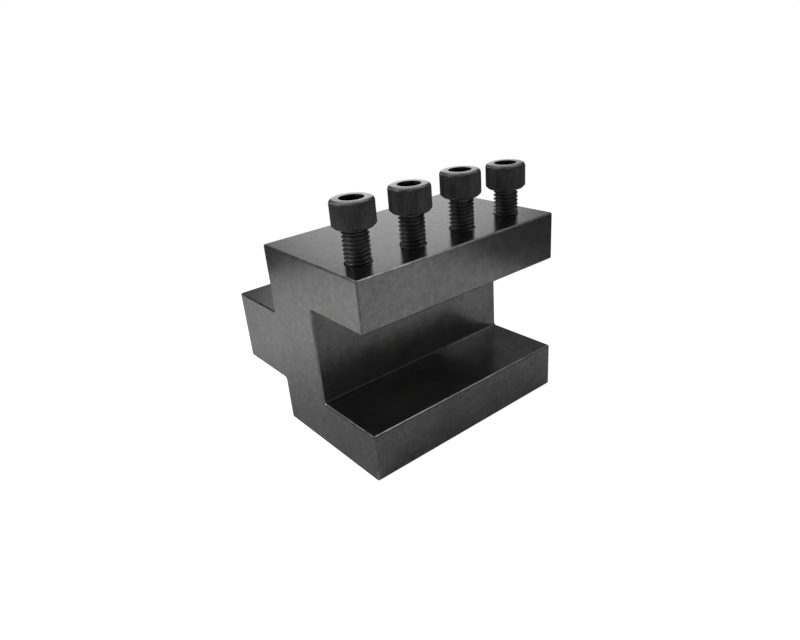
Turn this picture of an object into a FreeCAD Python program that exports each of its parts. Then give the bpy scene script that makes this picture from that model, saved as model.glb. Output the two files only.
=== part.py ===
import FreeCAD, Part
import math
import os

# Lathe tool holder: one steel block with a tool slot through its front, a square tenon
# along its back, and a row of socket head screws that clamp the tool from above.
# X runs along the block, the slot opens to -Y, the tenon points to +Y and Z is up.
# The origin is on the plane that the block stands on, in the middle of its overall
# length and depth. All sizes are in millimetres.

# Block
block_length = 80.0
body_depth = 51.0
back_wall_thickness = 24.4
bottom_jaw_height = 16.0
tool_slot_height = 33.0
top_jaw_height = 16.0
edge_chamfer = 0.5
inner_corner_radius = 0.8

# Tenon, whose underside is level with the floor of the tool slot
tenon_height = 25.4
tenon_depth = 25.4
tenon_chamfer = 0.8

# Row of clamp screws. Each is backed out by its own amount, as they stand in use:
# this is the length of thread between the block's top face and the head.
end_to_first_screw = 9.5
front_to_screw_row = 12.0
exposed_threads = [10.55, 10.15, 10.35, 8.75]

# Clamp screw, M8 x 25 with a knurled socket head
thread_diameter = 8.0
thread_pitch = 1.25
thread_length = 25.0
thread_neck_length = 1.0
tip_chamfer = 0.8
head_diameter = 12.8
head_height = 8.0
head_top_rounding = 1.2
rounding_steps = 3
head_bottom_chamfer = 0.8
knurl_ridges = 40
knurl_depth = 0.3
knurl_crest_cut = 0.05
socket_across_flats = 6.0
socket_depth = 4.5
socket_chamfer = 0.15

# Tapped holes, bored to clear the crests of the thread
thread_clearance = 0.05
hole_chamfer = 0.2

# Two points nearer than this are taken as one
same_place = 1e-4

# Places that follow from the sizes
block_height = bottom_jaw_height + tool_slot_height + top_jaw_height
slot_ceiling = bottom_jaw_height + tool_slot_height
body_front = -(body_depth + tenon_depth) / 2
body_back = body_front + body_depth
slot_back = body_back - back_wall_thickness
tenon_back = body_back + tenon_depth
tenon_bottom = bottom_jaw_height
tenon_top = tenon_bottom + tenon_height
screw_row = body_front + front_to_screw_row
screw_pitch = (block_length - 2 * end_to_first_screw) / (len(exposed_threads) - 1)

# Thread form of a 60 degree metric screw thread, in shares of the pitch
thread_depth = 0.6134 * thread_pitch
crest_flat = thread_pitch / 8
flank_run = thread_depth * math.tan(math.radians(30))
root_flat = thread_pitch - crest_flat - 2 * flank_run


def block_outline():
    """Corners of the block's end face as (y, z), going round from the bottom front."""
    return [
        (body_front, 0.0),
        (body_back, 0.0),
        (body_back, tenon_bottom),
        (tenon_back, tenon_bottom),
        (tenon_back, tenon_top),
        (body_back, tenon_top),
        (body_back, block_height),
        (body_front, block_height),
        (body_front, slot_ceiling),
        (slot_back, slot_ceiling),
        (slot_back, bottom_jaw_height),
        (body_front, bottom_jaw_height),
    ]


def runs_at(edge, corners):
    """True where an edge runs along the block through one of the (y, z) corners."""
    box = edge.BoundBox
    if box.XLength < block_length / 2:
        return False
    return any(math.hypot(box.Center.y - y, box.Center.z - z) < same_place for y, z in corners)


def extruded_block():
    """The block with square edges, centred along X."""
    points = [FreeCAD.Vector(-block_length / 2, y, z) for y, z in block_outline()]
    face = Part.Face(Part.makePolygon(points + points[:1]))
    return face.extrude(FreeCAD.Vector(block_length, 0, 0))


def eased_block():
    """The block with its inner corners rounded and all its outer edges chamfered."""
    block = extruded_block()
    inner = [
        (slot_back, slot_ceiling),
        (slot_back, bottom_jaw_height),
        (body_back, tenon_bottom),
        (body_back, tenon_top),
    ]
    block = block.makeFillet(inner_corner_radius, [e for e in block.Edges if runs_at(e, inner)])
    tenon_edges = [(tenon_back, tenon_bottom), (tenon_back, tenon_top)]
    block = block.makeChamfer(tenon_chamfer, [e for e in block.Edges if runs_at(e, tenon_edges)])
    outer = [
        (body_front, 0.0),
        (body_back, 0.0),
        (body_back, block_height),
        (body_front, block_height),
        (body_front, slot_ceiling),
        (body_front, bottom_jaw_height),
    ]
    block = block.makeChamfer(edge_chamfer, [e for e in block.Edges if runs_at(e, outer)])
    ends = [e for e in block.Edges if e.BoundBox.XLength < same_place]
    return block.makeChamfer(edge_chamfer, ends)


def screw_hole(x):
    """Cutter for one tapped hole through the top jaw, opened out at both mouths."""
    radius = thread_diameter / 2 + thread_clearance
    mouth = radius + hole_chamfer
    profile = [
        (0.0, slot_ceiling),
        (mouth, slot_ceiling),
        (radius, slot_ceiling + hole_chamfer),
        (radius, block_height - hole_chamfer),
        (mouth, block_height),
        (0.0, block_height),
    ]
    return turned(profile, x)


def turned(profile, x):
    """Solid turned about a screw's axis from (radius, z) points."""
    points = [FreeCAD.Vector(x + radius, screw_row, z) for radius, z in profile]
    face = Part.Face(Part.makePolygon(points + points[:1]))
    axis_point = FreeCAD.Vector(x, screw_row, 0)
    return face.revolve(axis_point, FreeCAD.Vector(0, 0, 1), 360)


def make_tool_block():
    block = eased_block()
    for number in range(len(exposed_threads)):
        block = block.cut(screw_hole(screw_x(number)))
    return block


def screw_x(number):
    return -block_length / 2 + end_to_first_screw + number * screw_pitch


def threaded_shank(x, head_seat):
    """Shank under the head, its thread made as rings, with a chamfered tip."""
    crest = thread_diameter / 2
    root = crest - thread_depth
    tip = head_seat - thread_length
    profile = [(0.0, tip), (crest - tip_chamfer, tip)]
    z = tip + tip_chamfer
    profile.append((crest, z))
    while z + crest_flat + 2 * flank_run + root_flat < head_seat - thread_neck_length:
        z += crest_flat
        profile.append((crest, z))
        z += flank_run
        profile.append((root, z))
        z += root_flat
        profile.append((root, z))
        z += flank_run
        profile.append((crest, z))
    z += crest_flat
    profile.append((crest, z))
    z += flank_run
    profile.append((root, z))
    profile.append((root, head_seat))
    profile.append((0.0, head_seat))
    return turned(profile, x)


def head_blank(x, head_seat):
    """Plain head, eased over at its top in small steps and chamfered at its underside."""
    radius = head_diameter / 2
    top = head_seat + head_height
    profile = [
        (0.0, head_seat),
        (radius - head_bottom_chamfer, head_seat),
        (radius, head_seat + head_bottom_chamfer),
    ]
    for step in range(rounding_steps + 1):
        angle = math.pi / 2 * step / rounding_steps
        inward = head_top_rounding * (1 - math.cos(angle))
        profile.append((radius - inward, top - head_top_rounding * (1 - math.sin(angle))))
    profile.append((0.0, top))
    return turned(profile, x)


def knurl_prism(x, head_seat):
    """Straight ridges all round the head, sharp until the head's own diameter cuts their crests."""
    sharp = head_diameter / 2 + knurl_crest_cut
    points = []
    for step in range(2 * knurl_ridges):
        radius = sharp - (step % 2) * (knurl_crest_cut + knurl_depth)
        angle = math.pi * step / knurl_ridges
        points.append(FreeCAD.Vector(x + radius * math.cos(angle), screw_row + radius * math.sin(angle), head_seat))
    face = Part.Face(Part.makePolygon(points + points[:1]))
    return face.extrude(FreeCAD.Vector(0, 0, head_height))


def hex_socket(x, top):
    """Cutter for the hexagon socket, with a coned bottom and a chamfered mouth."""
    corner = socket_across_flats / 2 / math.cos(math.radians(30))
    bottom = top - socket_depth
    points = []
    for step in range(6):
        angle = math.radians(60 * step)
        points.append(FreeCAD.Vector(x + corner * math.cos(angle), screw_row + corner * math.sin(angle), bottom))
    face = Part.Face(Part.makePolygon(points + points[:1]))
    hexagon = face.extrude(FreeCAD.Vector(0, 0, socket_depth))
    drilled = turned([(0.0, bottom - corner / 3), (socket_across_flats / 2, bottom), (0.0, bottom)], x)
    mouth = turned([(0.0, top - socket_chamfer), (corner, top - socket_chamfer),
                    (corner + socket_chamfer, top), (0.0, top)], x)
    return hexagon.fuse([drilled, mouth])


def make_clamp_screw(x, exposed):
    head_seat = block_height + exposed
    head = head_blank(x, head_seat).common(knurl_prism(x, head_seat))
    head = head.cut(hex_socket(x, head_seat + head_height))
    return head.fuse(threaded_shank(x, head_seat)).removeSplitter()


def export(node, shape):
    solid = shape.Solids[0]
    print(node, "solids", len(shape.Solids), "valid", solid.isValid(), "volume", round(solid.Volume, 1))
    solid.exportStep("parts/%s.step" % node)


os.makedirs("parts", exist_ok=True)
export("tool_block", make_tool_block())
for number, exposed in enumerate(exposed_threads):
    export("clamp_screw_%d" % (number + 1), make_clamp_screw(screw_x(number), exposed))
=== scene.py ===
import math

import bmesh
import bpy
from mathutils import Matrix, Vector


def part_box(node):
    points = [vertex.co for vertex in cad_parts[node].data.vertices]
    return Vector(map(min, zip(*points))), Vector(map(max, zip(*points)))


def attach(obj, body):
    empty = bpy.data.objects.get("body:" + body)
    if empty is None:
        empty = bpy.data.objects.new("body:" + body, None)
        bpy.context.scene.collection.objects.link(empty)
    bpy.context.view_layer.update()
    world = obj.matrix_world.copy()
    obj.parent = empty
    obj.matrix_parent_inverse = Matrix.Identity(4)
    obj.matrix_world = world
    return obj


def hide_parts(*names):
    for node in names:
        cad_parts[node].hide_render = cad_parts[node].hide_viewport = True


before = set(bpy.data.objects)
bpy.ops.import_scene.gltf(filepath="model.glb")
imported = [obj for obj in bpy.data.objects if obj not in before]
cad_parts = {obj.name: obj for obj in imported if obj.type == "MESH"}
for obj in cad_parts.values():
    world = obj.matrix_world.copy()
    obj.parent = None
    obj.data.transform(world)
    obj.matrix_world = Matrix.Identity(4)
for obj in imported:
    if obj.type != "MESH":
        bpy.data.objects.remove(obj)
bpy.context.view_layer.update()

# Tool block. One piece of tool steel, milled to a C with a square tenon along its back, ground on
# its flat faces and blackened in a hot oxide bath. Its outer edges are broken with a fine chamfer,
# and a row of holes is tapped through the top jaw for the clamp screws.
block_low, block_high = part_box("tool_block")
BLOCK_LENGTH = block_high.x - block_low.x
BLOCK_HEIGHT = block_high.z
SLOT_FLOOR = 0.016
SLOT_CEILING = 0.049
SLOT_DEPTH = 0.0266
TENON_SIDE = 0.0254
BODY_BACK = block_high.y - TENON_SIDE
SLOT_BACK = block_low.y + SLOT_DEPTH
EDGE_BREAK = 0.0005
INNER_CORNER = 0.0008
FIRST_HOLE = 0.0095
HOLE_SETBACK = 0.012
SCREW_ROW = block_low.y + HOLE_SETBACK
HOLE_RADIUS = 0.00405
HOLE_MOUTH = 0.0002
SCREWS = 4
SHARP = 1
SCREW_PITCH = (BLOCK_LENGTH - 2 * FIRST_HOLE) / (SCREWS - 1)
SCREW_PLACES = [block_low.x + FIRST_HOLE + number * SCREW_PITCH for number in range(SCREWS)]


def take_up(piece):
    """Makes this the only selected object and the active one."""
    bpy.ops.object.select_all(action="DESELECT")
    piece.select_set(True)
    bpy.context.view_layer.objects.active = piece


def open_up(piece):
    """Goes into edit mode on this piece alone, with nothing selected in it."""
    take_up(piece)
    bpy.ops.object.mode_set(mode="EDIT")
    bpy.ops.mesh.select_mode(type="VERT")
    bpy.ops.mesh.select_all(action="DESELECT")


def close_up():
    bpy.ops.object.mode_set(mode="OBJECT")


def pick_faces(piece, wanted):
    """Selects, in edit mode, just the faces that wanted(face) says."""
    bpy.ops.mesh.select_mode(type="FACE")
    bpy.ops.mesh.select_all(action="DESELECT")
    mesh = bmesh.from_edit_mesh(piece.data)
    for face in mesh.faces:
        face.select_set(wanted(face))
    mesh.select_flush_mode()
    bmesh.update_edit_mesh(piece.data)


def pick_edges(piece, wanted):
    """Selects, in edit mode, just the edges that wanted(edge) says."""
    bpy.ops.mesh.select_mode(type="EDGE")
    bpy.ops.mesh.select_all(action="DESELECT")
    mesh = bmesh.from_edit_mesh(piece.data)
    for edge in mesh.edges:
        edge.select_set(wanted(edge))
    bmesh.update_edit_mesh(piece.data)


def cut_across(place, normal):
    """Cuts the open piece's faces along a plane."""
    bpy.ops.mesh.select_all(action="SELECT")
    bpy.ops.mesh.bisect(plane_co=place, plane_no=normal)


def draw_out(piece, wanted, move):
    """Extrudes the faces that wanted(face) says by a move."""
    pick_faces(piece, wanted)
    bpy.ops.mesh.extrude_region_move(TRANSFORM_OT_translate={"value": move})


def settle(piece):
    """Puts the piece's place into its mesh, so its object sits at the origin."""
    take_up(piece)
    bpy.ops.object.transform_apply(location=True, rotation=True, scale=True)


def combine(piece, other, way):
    """Cuts, joins or trims a piece with another, which is used up."""
    change = piece.modifiers.new("change", "BOOLEAN")
    change.operation = way
    change.object = other
    take_up(piece)
    bpy.ops.object.modifier_apply(modifier=change.name)
    bpy.data.objects.remove(other)


def new_material(name):
    """A new material, its node tree's nodes and links, and its shader."""
    material = bpy.data.materials.new(name)
    material.use_nodes = True
    nodes = material.node_tree.nodes
    return material, nodes, material.node_tree.links, nodes["Principled BSDF"]


def noise(nodes, links, space, scale, stretch=(1, 1, 1), detail=4, rough=0.6):
    """Noise in the object's own space, stretched along an axis, as a 0 to 1 value."""
    mapping = nodes.new("ShaderNodeMapping")
    mapping.inputs["Scale"].default_value = stretch
    links.new(space, mapping.inputs["Vector"])
    texture = nodes.new("ShaderNodeTexNoise")
    texture.inputs["Scale"].default_value = scale
    texture.inputs["Detail"].default_value = detail
    texture.inputs["Roughness"].default_value = rough
    links.new(mapping.outputs["Vector"], texture.inputs["Vector"])
    return texture.outputs["Fac"]


def ramp(nodes, links, value, low, high, low_place=0.3, high_place=0.7):
    """Colours or greys between two ends, picked by a value."""
    node = nodes.new("ShaderNodeValToRGB")
    node.color_ramp.elements[0].position = low_place
    node.color_ramp.elements[0].color = low
    node.color_ramp.elements[1].position = high_place
    node.color_ramp.elements[1].color = high
    links.new(value, node.inputs["Fac"])
    return node.outputs["Color"]


def grey(value):
    return (value, value, value, 1)


def toned(nodes, links, tone, value, low, high):
    """A tone made darker in places by a second pattern."""
    mix = nodes.new("ShaderNodeMix")
    mix.data_type = "RGBA"
    mix.blend_type = "MULTIPLY"
    mix.inputs["Factor"].default_value = 1
    links.new(tone, mix.inputs["A"])
    links.new(ramp(nodes, links, value, grey(low), grey(high)), mix.inputs["B"])
    return mix.outputs["Result"]


def black_oxide():
    """Ground steel under black oxide: dark, satin, cloudy and mottled, with fine grain and faint streaks."""
    material, nodes, links, shader = new_material("black_oxide_steel")
    space = nodes.new("ShaderNodeTexCoord").outputs["Object"]
    clouds = noise(nodes, links, space, 60)
    mottle = noise(nodes, links, space, 480, detail=3, rough=0.65)
    grain = noise(nodes, links, space, 1500, detail=3, rough=0.7)
    streaks = noise(nodes, links, space, 700, stretch=(1, 1, 0.06), detail=3)
    tone = ramp(nodes, links, clouds, (0.294, 0.292, 0.289, 1), (0.372, 0.368, 0.366, 1))
    tone = toned(nodes, links, tone, mottle, 0.74, 1)
    tone = toned(nodes, links, tone, grain, 0.76, 1)
    tone = toned(nodes, links, tone, streaks, 0.93, 1)
    links.new(tone, shader.inputs["Base Color"])
    shader.inputs["Metallic"].default_value = 0.96
    links.new(ramp(nodes, links, clouds, grey(0.18), grey(0.25)), shader.inputs["Roughness"])
    bump = nodes.new("ShaderNodeBump")
    bump.inputs["Strength"].default_value = 0.15
    bump.inputs["Distance"].default_value = 0.00005
    links.new(grain, bump.inputs["Height"])
    links.new(bump.outputs["Normal"], shader.inputs["Normal"])
    return material


def worn_edge():
    """The chamfered edges, where handling has rubbed the oxide thinner."""
    material, nodes, links, shader = new_material("worn_edge_steel")
    space = nodes.new("ShaderNodeTexCoord").outputs["Object"]
    rubs = noise(nodes, links, space, 350)
    links.new(ramp(nodes, links, rubs, grey(0.22), grey(0.42), 0.4, 0.7), shader.inputs["Base Color"])
    shader.inputs["Metallic"].default_value = 1
    shader.inputs["Roughness"].default_value = 0.3
    return material


bpy.ops.object.select_all(action="DESELECT")
bpy.ops.mesh.primitive_cube_add(size=1, location=(0, (SLOT_BACK + BODY_BACK) / 2, BLOCK_HEIGHT / 2))
block = bpy.context.active_object
block.name = "tool_block_steel"
block.scale = (BLOCK_LENGTH, BODY_BACK - SLOT_BACK, BLOCK_HEIGHT)
settle(block)
block.data.materials.append(black_oxide())
block.data.materials.append(worn_edge())
open_up(block)
cut_across((0, 0, SLOT_FLOOR), (0, 0, 1))
cut_across((0, 0, SLOT_CEILING), (0, 0, 1))
cut_across((0, 0, SLOT_FLOOR + TENON_SIDE), (0, 0, 1))
draw_out(block, lambda f: f.normal.y < -0.9 and f.calc_center_median().z < SLOT_FLOOR, (0, -SLOT_DEPTH, 0))
draw_out(block, lambda f: f.normal.y < -0.9 and f.calc_center_median().z > SLOT_CEILING, (0, -SLOT_DEPTH, 0))
draw_out(
    block,
    lambda f: f.normal.y > 0.9 and SLOT_FLOOR < f.calc_center_median().z < SLOT_FLOOR + TENON_SIDE,
    (0, TENON_SIDE, 0),
)
bpy.ops.mesh.select_all(action="SELECT")
bpy.ops.mesh.dissolve_limited(angle_limit=math.radians(1))


def is_inner_corner(edge):
    return edge.is_manifold and not edge.is_convex and edge.calc_face_angle() > SHARP


pick_edges(block, is_inner_corner)
bpy.ops.mesh.bevel(offset=INNER_CORNER, segments=4)
pick_edges(block, lambda e: e.is_convex and e.calc_face_angle() > SHARP)
bpy.ops.mesh.bevel(offset=EDGE_BREAK, segments=3, profile=0.35, material=1)
close_up()

bpy.ops.object.select_all(action="DESELECT")
bpy.ops.mesh.primitive_cylinder_add(
    vertices=72,
    radius=HOLE_RADIUS,
    depth=BLOCK_HEIGHT - SLOT_CEILING,
    location=(SCREW_PLACES[0], SCREW_ROW, (BLOCK_HEIGHT + SLOT_CEILING) / 2),
)
drill = bpy.context.active_object
settle(drill)
open_up(drill)
flare = (HOLE_RADIUS + 2 * HOLE_MOUTH) / HOLE_RADIUS
for side in (1, -1):
    pick_faces(drill, lambda f: f.normal.z * side > 0.9)
    bpy.ops.transform.translate(value=(0, 0, -side * HOLE_MOUTH))
    bpy.ops.mesh.extrude_region_move(TRANSFORM_OT_translate={"value": (0, 0, side * 2 * HOLE_MOUTH)})
    bpy.ops.transform.resize(value=(flare, flare, 1))
close_up()
for place in SCREW_PLACES:
    cutter = drill.copy()
    cutter.data = drill.data.copy()
    bpy.context.collection.objects.link(cutter)
    cutter.location.x = place - SCREW_PLACES[0]
    combine(block, cutter, "DIFFERENCE")
bpy.data.objects.remove(drill)
take_up(block)
bpy.ops.object.shade_smooth_by_angle(angle=math.radians(22))
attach(block, "block")
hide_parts("tool_block")

# Clamp screws. M8 socket head cap screws of alloy steel, cold headed with a hexagon socket, knurled
# round the head, rolled with a right-hand thread and blackened. They stand backed out of the top
# jaw by about 10 mm, each by its own amount and turned its own way.
HEAD_RADIUS = 0.0064
HEAD_HEIGHT = 0.008
HEAD_TOP_ROUNDING = 0.0012
HEAD_FOOT_BREAK = 0.0008
KNURL_RIDGES = 56
KNURL_DEPTH = 0.0002
KNURL_POINTS = 4 * KNURL_RIDGES
SOCKET_FLATS = 0.006
SOCKET_DEPTH = 0.0045
SOCKET_MOUTH = 0.00015
NECK_RADIUS = 0.0034
NECK_LENGTH = 0.0012
THREAD_RADIUS = 0.004
THREAD_PITCH = 0.00125
THREAD_DEPTH = 0.6134 * THREAD_PITCH
SCREW_LENGTH = 0.025
TIP_BREAK = 0.00095
SCREW_TURNS = (0.31, 2.17, 3.9, 5.02)


def blackened_screw():
    """Black oxide on a cold headed screw: darker and duller than the ground block."""
    material, nodes, links, shader = new_material("blackened_screw_steel")
    space = nodes.new("ShaderNodeTexCoord").outputs["Object"]
    clouds = noise(nodes, links, space, 220)
    links.new(ramp(nodes, links, clouds, grey(0.165), grey(0.235)), shader.inputs["Base Color"])
    shader.inputs["Metallic"].default_value = 1
    links.new(ramp(nodes, links, clouds, grey(0.34), grey(0.46)), shader.inputs["Roughness"])
    return material


def rubbed_screw_top():
    """The flat of the head and the rim of its socket, which the key and the hand have polished."""
    material, nodes, links, shader = new_material("rubbed_screw_steel")
    space = nodes.new("ShaderNodeTexCoord").outputs["Object"]
    rubs = noise(nodes, links, space, 900, detail=3)
    links.new(ramp(nodes, links, rubs, grey(0.42), grey(0.56)), shader.inputs["Base Color"])
    shader.inputs["Metallic"].default_value = 1
    links.new(ramp(nodes, links, rubs, grey(0.22), grey(0.32)), shader.inputs["Roughness"])
    return material


def socket_painted_shade():
    """The broached walls of the socket, rough and oxide blackened, with painted shade: their colour is
    darkened far below the oxide's own to stand for the shade deep in the socket.
    """
    material, nodes, links, shader = new_material("socket_steel_painted_shade")
    space = nodes.new("ShaderNodeTexCoord").outputs["Object"]
    clouds = noise(nodes, links, space, 700)
    # Painted shade: the socket walls are near black, much darker than the screw's oxide, for the shade deep
    # in the socket.
    links.new(ramp(nodes, links, clouds, grey(0.012), grey(0.03)), shader.inputs["Base Color"])
    shader.inputs["Metallic"].default_value = 1
    links.new(ramp(nodes, links, clouds, grey(0.55), grey(0.7)), shader.inputs["Roughness"])
    return material


def pick_points(piece, wanted):
    """Selects, in edit mode, just the points that wanted(vertex) says."""
    bpy.ops.mesh.select_mode(type="VERT")
    bpy.ops.mesh.select_all(action="DESELECT")
    mesh = bmesh.from_edit_mesh(piece.data)
    for point in mesh.verts:
        point.select_set(wanted(point))
    mesh.select_flush_mode()
    bmesh.update_edit_mesh(piece.data)


def reach(point):
    """How far a point is from the screw's axis."""
    return math.hypot(point.co.x, point.co.y)


def widen(share):
    """Scales what is picked about the screw's axis."""
    bpy.ops.transform.resize(value=(share, share, 1))


# The head is modelled at the origin with its seat at z = 0: a straight knurled drum first.
SHOULDER_STEPS = 6
SAME_PLACE = 1e-6
drum_top = HEAD_HEIGHT - HEAD_TOP_ROUNDING
bpy.ops.object.select_all(action="DESELECT")
bpy.ops.mesh.primitive_cylinder_add(
    vertices=KNURL_POINTS,
    radius=HEAD_RADIUS,
    depth=drum_top - HEAD_FOOT_BREAK,
    location=(0, 0, (drum_top + HEAD_FOOT_BREAK) / 2),
)
screw = bpy.context.active_object
settle(screw)
screw.data.materials.append(blackened_screw())
screw.data.materials.append(rubbed_screw_top())
# The third finish is the socket's oxide, darkened with painted shade.
screw.data.materials.append(socket_painted_shade())


def in_valley(point):
    step = math.atan2(point.co.y, point.co.x) / (2 * math.pi) * KNURL_POINTS
    return round(step) % 4 in (2, 3)


def draw_in(height, ridge, valley):
    """Moves the end just drawn out to its height and pulls its ridges and valleys in to two radii."""
    for wanted, radius in ((False, ridge), (True, valley)):
        pick_points(screw, lambda v: abs(v.co.z - height) < SAME_PLACE and in_valley(v) == wanted)
        widen(radius / reach(next(v for v in bmesh.from_edit_mesh(screw.data).verts if v.select)))


open_up(screw)
pick_points(screw, in_valley)
widen((HEAD_RADIUS - KNURL_DEPTH) / HEAD_RADIUS)

# The foot is drawn in to a chamfer, and the top is drawn in step by step to a round shoulder on
# which the knurl dies out.
pick_faces(screw, lambda f: f.normal.z < -0.9)
bpy.ops.mesh.extrude_region_move(TRANSFORM_OT_translate={"value": (0, 0, -HEAD_FOOT_BREAK)})
draw_in(0, HEAD_RADIUS - HEAD_FOOT_BREAK, HEAD_RADIUS - HEAD_FOOT_BREAK)
pick_points(screw, lambda v: abs(v.co.z - HEAD_FOOT_BREAK) < SAME_PLACE and in_valley(v))
bpy.ops.transform.translate(value=(0, 0, -KNURL_DEPTH))
height = drum_top
for step in range(1, SHOULDER_STEPS + 1):
    angle = math.pi / 2 * step / SHOULDER_STEPS
    rise = drum_top + HEAD_TOP_ROUNDING * math.sin(angle) - height
    radius = HEAD_RADIUS - HEAD_TOP_ROUNDING * (1 - math.cos(angle))
    pick_faces(screw, lambda f: f.normal.z > 0.9 and f.calc_center_median().z > height - SAME_PLACE)
    bpy.ops.mesh.extrude_region_move(TRANSFORM_OT_translate={"value": (0, 0, rise)})
    height += rise
    draw_in(height, radius, radius - KNURL_DEPTH * max(0, 1 - step / (SHOULDER_STEPS - 1)))

# A neck is drawn down from the foot, with a fillet under the head.
pick_faces(screw, lambda f: f.normal.z < -0.9)
FILLET_RADII = (0.0042, 0.0038, NECK_RADIUS, NECK_RADIUS)
FILLET_DROPS = (0.00012, 0.0004, NECK_LENGTH)
bpy.ops.mesh.inset(thickness=HEAD_RADIUS - HEAD_FOOT_BREAK - FILLET_RADII[0])
for drop, before, radius in zip(FILLET_DROPS, FILLET_RADII, FILLET_RADII[1:]):
    bpy.ops.mesh.extrude_region_move(TRANSFORM_OT_translate={"value": (0, 0, -drop)})
    widen(radius / before)
close_up()

# The socket is broached: a hexagon with a coned bottom, and a mouth opened out by a cone.
socket_corner = SOCKET_FLATS / 2 / math.cos(math.radians(30))
socket_floor = HEAD_HEIGHT - SOCKET_DEPTH
BROACH_PROUD = 0.001
BROACH_RIM = 0.0002
DRILL_POINT = 0.0011
POINT_SHARE = 0.05
CONE_SPARE = 0.0004
broach_length = SOCKET_DEPTH + BROACH_PROUD
bpy.ops.object.select_all(action="DESELECT")
bpy.ops.mesh.primitive_cylinder_add(
    vertices=6,
    radius=socket_corner,
    depth=broach_length,
    location=(0, 0, socket_floor + broach_length / 2),
)
broach = bpy.context.active_object
settle(broach)
open_up(broach)
pick_faces(broach, lambda f: f.normal.z < -0.9)
bpy.ops.mesh.inset(thickness=BROACH_RIM)
bpy.ops.mesh.extrude_region_move(TRANSFORM_OT_translate={"value": (0, 0, -DRILL_POINT)})
widen(POINT_SHARE)
close_up()
bpy.ops.object.select_all(action="DESELECT")
bpy.ops.mesh.primitive_cone_add(
    vertices=72,
    radius1=socket_corner - CONE_SPARE,
    radius2=socket_corner + SOCKET_MOUTH + CONE_SPARE,
    depth=2 * CONE_SPARE + SOCKET_MOUTH,
    location=(0, 0, HEAD_HEIGHT - SOCKET_MOUTH / 2),
)
countersink = bpy.context.active_object
settle(countersink)
combine(broach, countersink, "UNION")
combine(screw, broach, "DIFFERENCE")

# The thread is one flank profile with eased corners, wound up along the axis, trimmed flat at both
# ends and then cut to a chamfered blank.
ROOT_BOW = 0.00002
CREST_EASE = 0.00003
CREST_EASE_RISE = 0.00001
NECK_OVERLAP = 0.0003
CUT_THRESHOLD = 1e-7
bpy.ops.object.select_all(action="DESELECT")
bpy.ops.mesh.primitive_plane_add(size=0.001, location=(0, 0, 0))
thread = bpy.context.active_object
open_up(thread)
bpy.ops.mesh.select_all(action="SELECT")
bpy.ops.mesh.merge(type="CENTER")
flank_run = THREAD_DEPTH - ROOT_BOW - CREST_EASE
flank_rise = THREAD_DEPTH * math.tan(math.radians(30))
crest_half = THREAD_PITCH / 16
root_half = THREAD_PITCH / 2 - flank_rise - crest_half
root = THREAD_RADIUS - THREAD_DEPTH
bpy.ops.transform.translate(value=(root, 0, -SCREW_LENGTH - 2 * THREAD_PITCH))
for out, up in (
    (ROOT_BOW, root_half),
    (flank_run, flank_rise - CREST_EASE_RISE),
    (CREST_EASE, CREST_EASE_RISE + crest_half * 0.5),
    (0, crest_half),
    (-CREST_EASE, CREST_EASE_RISE + crest_half * 0.5),
    (-flank_run, flank_rise - CREST_EASE_RISE),
    (-ROOT_BOW, root_half),
):
    bpy.ops.mesh.extrude_vertices_move(TRANSFORM_OT_translate={"value": (out, 0, up)})
close_up()
winding = thread.modifiers.new("winding", "SCREW")
winding.angle = 2 * math.pi
winding.screw_offset = THREAD_PITCH
winding.iterations = math.ceil(SCREW_LENGTH / THREAD_PITCH) + 4
winding.steps = 40
winding.render_steps = 40
take_up(thread)
bpy.ops.object.modifier_apply(modifier=winding.name)
open_up(thread)
bpy.ops.mesh.select_all(action="SELECT")
bpy.ops.mesh.remove_doubles(threshold=SAME_PLACE)
bpy.ops.mesh.bisect(
    plane_co=(0, 0, -SCREW_LENGTH),
    plane_no=(0, 0, 1),
    clear_inner=True,
    use_fill=True,
    threshold=CUT_THRESHOLD,
)
bpy.ops.mesh.select_all(action="SELECT")
bpy.ops.mesh.bisect(
    plane_co=(0, 0, -NECK_LENGTH + NECK_OVERLAP),
    plane_no=(0, 0, 1),
    clear_outer=True,
    use_fill=True,
    threshold=CUT_THRESHOLD,
)
bpy.ops.mesh.select_all(action="SELECT")
bpy.ops.mesh.normals_make_consistent(inside=False)
close_up()

# The blank starts short of the thread at both ends, which are then drawn out to cones that end a
# little past what they trim.
BLANK_SHORT = 0.0005
BLANK_SPARE = 0.0001
CREST_SPARE = 0.00001
RUNOUT_START = 0.0009
RUNOUT_LENGTH = 0.0006

bpy.ops.object.select_all(action="DESELECT")
bpy.ops.mesh.primitive_cylinder_add(
    vertices=80,
    radius=THREAD_RADIUS + CREST_SPARE,
    depth=SCREW_LENGTH - 2 * BLANK_SHORT,
    location=(0, 0, -SCREW_LENGTH / 2),
)
blank = bpy.context.active_object
settle(blank)
open_up(blank)
pick_faces(blank, lambda f: f.normal.z < -0.9)
bpy.ops.transform.translate(value=(0, 0, TIP_BREAK - BLANK_SHORT))
bpy.ops.mesh.extrude_region_move(TRANSFORM_OT_translate={"value": (0, 0, -TIP_BREAK - BLANK_SPARE)})
widen((THREAD_RADIUS - TIP_BREAK - BLANK_SPARE) / THREAD_RADIUS)
pick_faces(blank, lambda f: f.normal.z > 0.9)
bpy.ops.transform.translate(value=(0, 0, -RUNOUT_START))
bpy.ops.mesh.extrude_region_move(TRANSFORM_OT_translate={"value": (0, 0, RUNOUT_LENGTH)})
widen((NECK_RADIUS - BLANK_SPARE) / THREAD_RADIUS)
close_up()
combine(thread, blank, "INTERSECT")
combine(screw, thread, "UNION")
take_up(screw)
bpy.ops.object.shade_smooth_by_angle(angle=math.radians(24))
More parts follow.
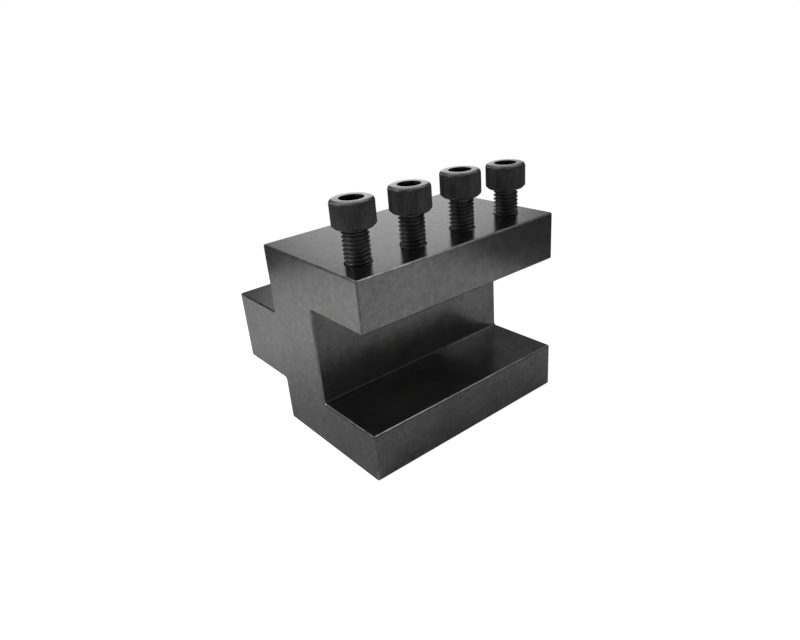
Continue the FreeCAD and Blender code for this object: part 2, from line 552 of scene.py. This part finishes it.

# The flat of the head takes the rubbed finish, and the socket its own oxide, darkened with painted shade.
FLAT_BAND = 0.0002
SOCKET_LOWEST = 0.0008
RIM_GAP = 1e-5
open_up(screw)
pick_faces(screw, lambda f: f.normal.z > 0.8 and f.calc_center_median().z > HEAD_HEIGHT - FLAT_BAND)
screw.active_material_index = 1
bpy.ops.object.material_slot_assign()
pick_faces(
    screw,
    lambda f: SOCKET_LOWEST < f.calc_center_median().z < HEAD_HEIGHT - RIM_GAP
    and math.hypot(*f.calc_center_median().xy) < socket_corner + SOCKET_MOUTH,
)
screw.active_material_index = 2
bpy.ops.object.material_slot_assign()
close_up()

for number, (place, turn) in enumerate(zip(SCREW_PLACES, SCREW_TURNS)):
    node = "clamp_screw_%d" % (number + 1)
    copied = screw.copy()
    copied.data = screw.data.copy()
    bpy.context.collection.objects.link(copied)
    copied.name = node + "_steel"
    head_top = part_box(node)[1].z
    copied.location = (place, SCREW_ROW, head_top - HEAD_HEIGHT)
    copied.rotation_euler = (0, 0, turn)
    settle(copied)
    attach(copied, "screw_%d" % (number + 1))
    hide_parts(node)
bpy.data.objects.remove(screw)

# Floor. A plain sheet of pale card, which the camera sees as white and on which the object's soft
# shadow stays. Metal mirrors the card as the lamps light it, with a little glow.
FLOOR_WIDTH = 0.43
FLOOR_DEPTH = 0.44
FLOOR_CENTRE = (-0.09, -0.06)
FLOOR_GLOW = 0.93
FLOOR_MIRRORED_GLOW = 0.02

bpy.ops.object.select_all(action="DESELECT")
bpy.ops.mesh.primitive_plane_add(size=1, location=(*FLOOR_CENTRE, -0.00002))
floor = bpy.context.active_object
floor.name = "floor"
floor.scale = (FLOOR_WIDTH, FLOOR_DEPTH, 1)
settle(floor)
material, nodes, links, shader = new_material("pale_card")
shader.inputs["Base Color"].default_value = (0.8, 0.8, 0.8, 1)
shader.inputs["Roughness"].default_value = 0.9
shader.inputs["Specular IOR Level"].default_value = 0
rays = nodes.new("ShaderNodeLightPath")
glow = nodes.new("ShaderNodeEmission")
glow.inputs["Color"].default_value = (1, 1, 1, 1)
mirrored = nodes.new("ShaderNodeMath")
mirrored.operation = "MULTIPLY"
mirrored.inputs[1].default_value = FLOOR_MIRRORED_GLOW
through = nodes.new("ShaderNodeMath")
through.operation = "MAXIMUM"
links.new(rays.outputs["Is Glossy Ray"], through.inputs[0])
links.new(rays.outputs["Is Transmission Ray"], through.inputs[1])
links.new(through.outputs["Value"], mirrored.inputs[0])
lift = nodes.new("ShaderNodeMath")
lift.operation = "MULTIPLY_ADD"
lift.inputs[1].default_value = FLOOR_GLOW
links.new(rays.outputs["Is Camera Ray"], lift.inputs[0])
links.new(mirrored.outputs["Value"], lift.inputs[2])
links.new(lift.outputs["Value"], glow.inputs["Strength"])
both = nodes.new("ShaderNodeAddShader")
links.new(shader.outputs["BSDF"], both.inputs[0])
links.new(glow.outputs["Emission"], both.inputs[1])
links.new(both.outputs["Shader"], nodes["Material Output"].inputs["Surface"])
floor.data.materials.append(material)

# Light: a dim room whose white sweep stands behind the object. Metal mirrors the lit part of the
# sweep, which fades out round a point just above the horizon. Five soft boxes light the card and
# the worn edges, and two snooted lamps pool light on the card beside and before the object.
ROOM_ABOVE = 0.09
ROOM_BELOW = 0.07
SWEEP_AZIMUTH = math.radians(38)
SWEEP_HEIGHT = math.radians(10)
SWEEP_EDGE = math.radians(18)
SWEEP_CORE = math.radians(2)
SNOOT_RADIUS = 0.02

world = bpy.data.worlds.new("room")
bpy.context.scene.world = world
world.use_nodes = True
world_nodes = world.node_tree.nodes
world_links = world.node_tree.links
direction = world_nodes.new("ShaderNodeTexCoord").outputs["Generated"]
height = world_nodes.new("ShaderNodeSeparateXYZ")
world_links.new(direction, height.inputs["Vector"])
level = world_nodes.new("ShaderNodeMapRange")
level.inputs["From Min"].default_value = -0.1
level.inputs["From Max"].default_value = 0.1
level.inputs["To Min"].default_value = ROOM_BELOW
level.inputs["To Max"].default_value = ROOM_ABOVE
world_links.new(height.outputs["Z"], level.inputs["Value"])
room = world_nodes["Background"]
room.inputs["Color"].default_value = (1, 1, 1, 1)
world_links.new(level.outputs["Result"], room.inputs["Strength"])
facing = world_nodes.new("ShaderNodeVectorMath")
facing.operation = "DOT_PRODUCT"
world_links.new(direction, facing.inputs[0])
facing.inputs[1].default_value = (
    math.sin(SWEEP_AZIMUTH) * math.cos(SWEEP_HEIGHT),
    math.cos(SWEEP_AZIMUTH) * math.cos(SWEEP_HEIGHT),
    math.sin(SWEEP_HEIGHT),
)
lit = world_nodes.new("ShaderNodeMapRange")
lit.interpolation_type = "SMOOTHSTEP"
lit.inputs["From Min"].default_value = math.cos(SWEEP_EDGE)
lit.inputs["From Max"].default_value = math.cos(SWEEP_CORE)
world_links.new(facing.outputs["Value"], lit.inputs["Value"])


def join_values(operation, first, second):
    """A number node that works on two values."""
    node = world_nodes.new("ShaderNodeMath")
    node.operation = operation
    world_links.new(first, node.inputs[0])
    world_links.new(second, node.inputs[1])
    return node.outputs["Value"]


world_rays = world_nodes.new("ShaderNodeLightPath")
mirrored_rays = join_values(
    "MAXIMUM", world_rays.outputs["Is Glossy Ray"], world_rays.outputs["Is Transmission Ray"]
)
mirrored_sweep = join_values("MULTIPLY", mirrored_rays, lit.outputs["Result"])
sweep_share = join_values("MAXIMUM", world_rays.outputs["Is Camera Ray"], mirrored_sweep)
sweep = world_nodes.new("ShaderNodeBackground")
sweep.inputs["Color"].default_value = (1, 1, 1, 1)
sweep.inputs["Strength"].default_value = 1
either = world_nodes.new("ShaderNodeMixShader")
world_links.new(sweep_share, either.inputs["Fac"])
world_links.new(room.outputs["Background"], either.inputs[1])
world_links.new(sweep.outputs["Background"], either.inputs[2])
world_links.new(either.outputs["Shader"], world_nodes["World Output"].inputs["Surface"])


def add_lamp(kind, name, place, aim, power):
    """A lamp that points from its place at a point."""
    bpy.ops.object.select_all(action="DESELECT")
    bpy.ops.object.light_add(type=kind, location=place)
    lamp = bpy.context.active_object
    lamp.name = name
    lamp.data.energy = power
    lamp.visible_camera = False
    toward = Vector(aim) - Vector(place)
    lamp.rotation_euler = toward.to_track_quat("-Z", "Y").to_euler()
    return lamp.data


def soft_box(name, place, aim, width, height, power):
    """A rectangular lamp."""
    light = add_lamp("AREA", name, place, aim, power)
    light.shape = "RECTANGLE"
    light.size = width
    light.size_y = height


def snoot(name, place, aim, spread, power):
    """A lamp in a snoot, which pools its light on the card."""
    light = add_lamp("SPOT", name, place, aim, power)
    light.spot_size = spread
    light.spot_blend = 1
    light.shadow_soft_size = SNOOT_RADIUS


soft_box("key_light", (-0.24, 0.3, 0.7), (-0.05, 0.03, 0), 0.6, 0.6, 0.84)
soft_box("high_light", (0.22, 0.18, 0.65), (0, 0, 0), 0.5, 0.5, 0.3)
soft_box("left_light", (-0.2, 0.05, 0.18), (-0.12, 0.05, 0), 0.1, 0.1, 0.105)
soft_box("front_light", (0.36, -0.28, 0.5), (0, 0, 0.03), 0.28, 0.22, 0.13)
soft_box("edge_light", (0.295, -0.18, 0.61), (0, 0, 0.06), 0.18, 0.12, 0.2)
snoot("left_pool", (-0.2, 0.14, 0.6), (-0.12, 0.08, 0), math.radians(18), 6.0)
snoot("front_pool", (0.1, -0.25, 0.6), (0.075, -0.15, 0), math.radians(20), 5.0)

# Camera, fitted to the block's corners as the photograph shows them.
bpy.ops.object.select_all(action="DESELECT")
bpy.ops.object.camera_add(
    location=(-0.12431, -0.16654, 0.12341),
    rotation=(math.radians(65.259), math.radians(4.477), math.radians(-39.31)),
)
camera = bpy.context.active_object
camera.data.sensor_width = 36
camera.data.lens = 28.387
camera.data.clip_start = 0.01
bpy.context.scene.camera = camera
bpy.context.scene.view_settings.view_transform = "Standard"
